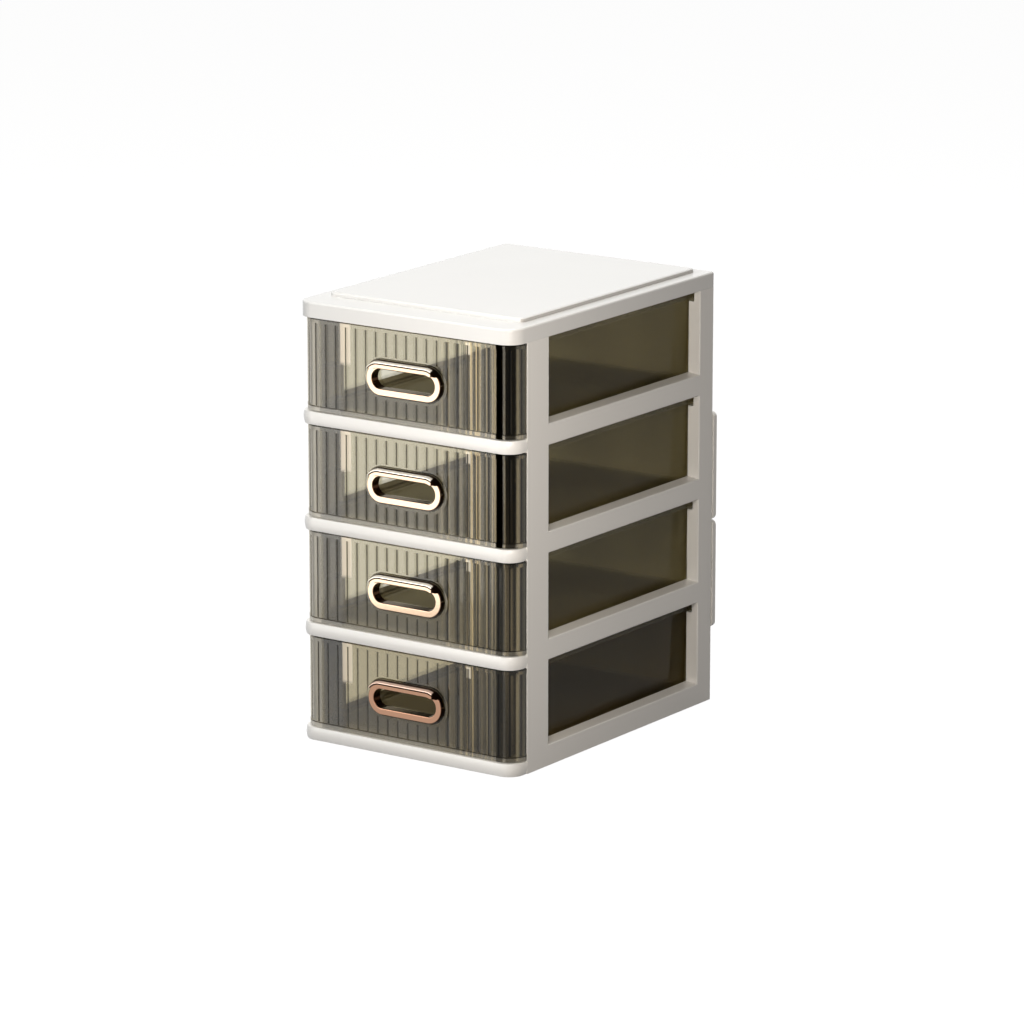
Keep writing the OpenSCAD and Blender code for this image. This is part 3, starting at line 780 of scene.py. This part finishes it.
airSettings = {
    "ambient": {"Color": (1.0, 0.90, 0.80), "Strength": 0.06},
    "backdrop": {"Color": (1, 1, 1), "Strength": 1.0},
}


def makeWorld(settings):
    world = bpy.data.worlds.new("studioAir")
    world.use_nodes = True
    tree = world.node_tree
    tree.nodes.clear()
    ambient = shaderNode(tree, "ShaderNodeBackground", **settings["ambient"])
    backdrop = shaderNode(tree, "ShaderNodeBackground", **settings["backdrop"])
    closeGraph(tree, "ShaderNodeOutputWorld",
               Surface=mixShaders(tree, isSeen(tree), ambient, backdrop))
    scene.world = world


lampSettings = {
    "keyPanel": {
        "place": (-1.35, -2.15, 1.7),
        "target": (0, 0, 0.16),
        "size": (0.9, 0.9),
        "power": 34.5,
        "color": (0.985, 0.995, 1.0),
    },
    "sidePanel": {
        "place": (0.37, -0.47, 0.38),
        "target": (0.05, 0, 0.2),
        "size": (0.3, 0.3),
        "power": 2.15,
        "color": (1.0, 0.915, 0.82),
    },
    "topPanel": {
        "place": (-0.35, 0.42, 2.2),
        "target": (0, 0, 0.2),
        "size": (1.0, 1.0),
        "power": 32.5,
        "color": (1.0, 0.985, 0.955),
    },
    "fillPanel": {
        "place": (0.1, -0.9, 0.06),
        "target": (0, 0, 0.10),
        "size": (0.5, 0.5),
        "power": 1.1,
        "color": (0.99, 0.995, 1.0),
    },
    "glossPanel": {                       # seen only as the gleam on the fronts and pulls
        "place": (-0.235, -0.455, 0.16),
        "target": (0, -0.12, 0.15),
        "size": (0.30, 0.32),
        "power": 0.62,
        "color": (1.0, 0.99, 0.97),
        "glossOnly": True,
    },
}


# Sets an object down and turns its view axis along a direction
def aim(thing, place, direction):
    scene.collection.objects.link(thing)
    thing.location = place
    thing.rotation_euler = direction.to_track_quat("-Z", "Y").to_euler()


def makeLamp(name, settings):
    light = bpy.data.lights.new(name, "AREA")
    light.shape = "RECTANGLE"
    light.size, light.size_y = settings["size"]
    light.energy = settings["power"]
    light.color = settings["color"]
    lamp = bpy.data.objects.new(name, light)
    aim(lamp, settings["place"], Vector(settings["target"]) - Vector(settings["place"]))
    if settings.get("glossOnly"):
        lamp.visible_diffuse = False
        lamp.visible_transmission = False
    lamp.visible_camera = False


makeFloor(floorSettings)
makeWorld(airSettings)
for name, settings in lampSettings.items():
    makeLamp(name, settings)
print("stage lit")


cameraSettings = {
    "turn": 34.799,        # degrees round from the front
    "pitch": 13.756,       # degrees down
    "distance": 3.8378,
    "shiftRight": 0.00269,
    "shiftUp": 0.14396,
    "lens": 192.74,
    "sensor": 36.0,
}


def makeCamera(settings):
    turn, pitch = math.radians(settings["turn"]), math.radians(settings["pitch"])
    ahead = Vector((-math.sin(turn) * math.cos(pitch), math.cos(turn) * math.cos(pitch),
                    -math.sin(pitch)))
    right = Vector((math.cos(turn), math.sin(turn), 0))
    up = right.cross(ahead)
    data = bpy.data.cameras.new("studioCamera")
    data.lens = settings["lens"]
    data.sensor_width = settings["sensor"]
    camera = bpy.data.objects.new("studioCamera", data)
    place = (-settings["distance"] * ahead + settings["shiftRight"] * right
             + settings["shiftUp"] * up)
    aim(camera, place, ahead)
    scene.camera = camera


makeCamera(cameraSettings)
scene.view_settings.view_transform = "Standard"
scene.cycles.transparent_max_bounces = 32    # walls of several drawers lie in one line of sight
print("camera placed")
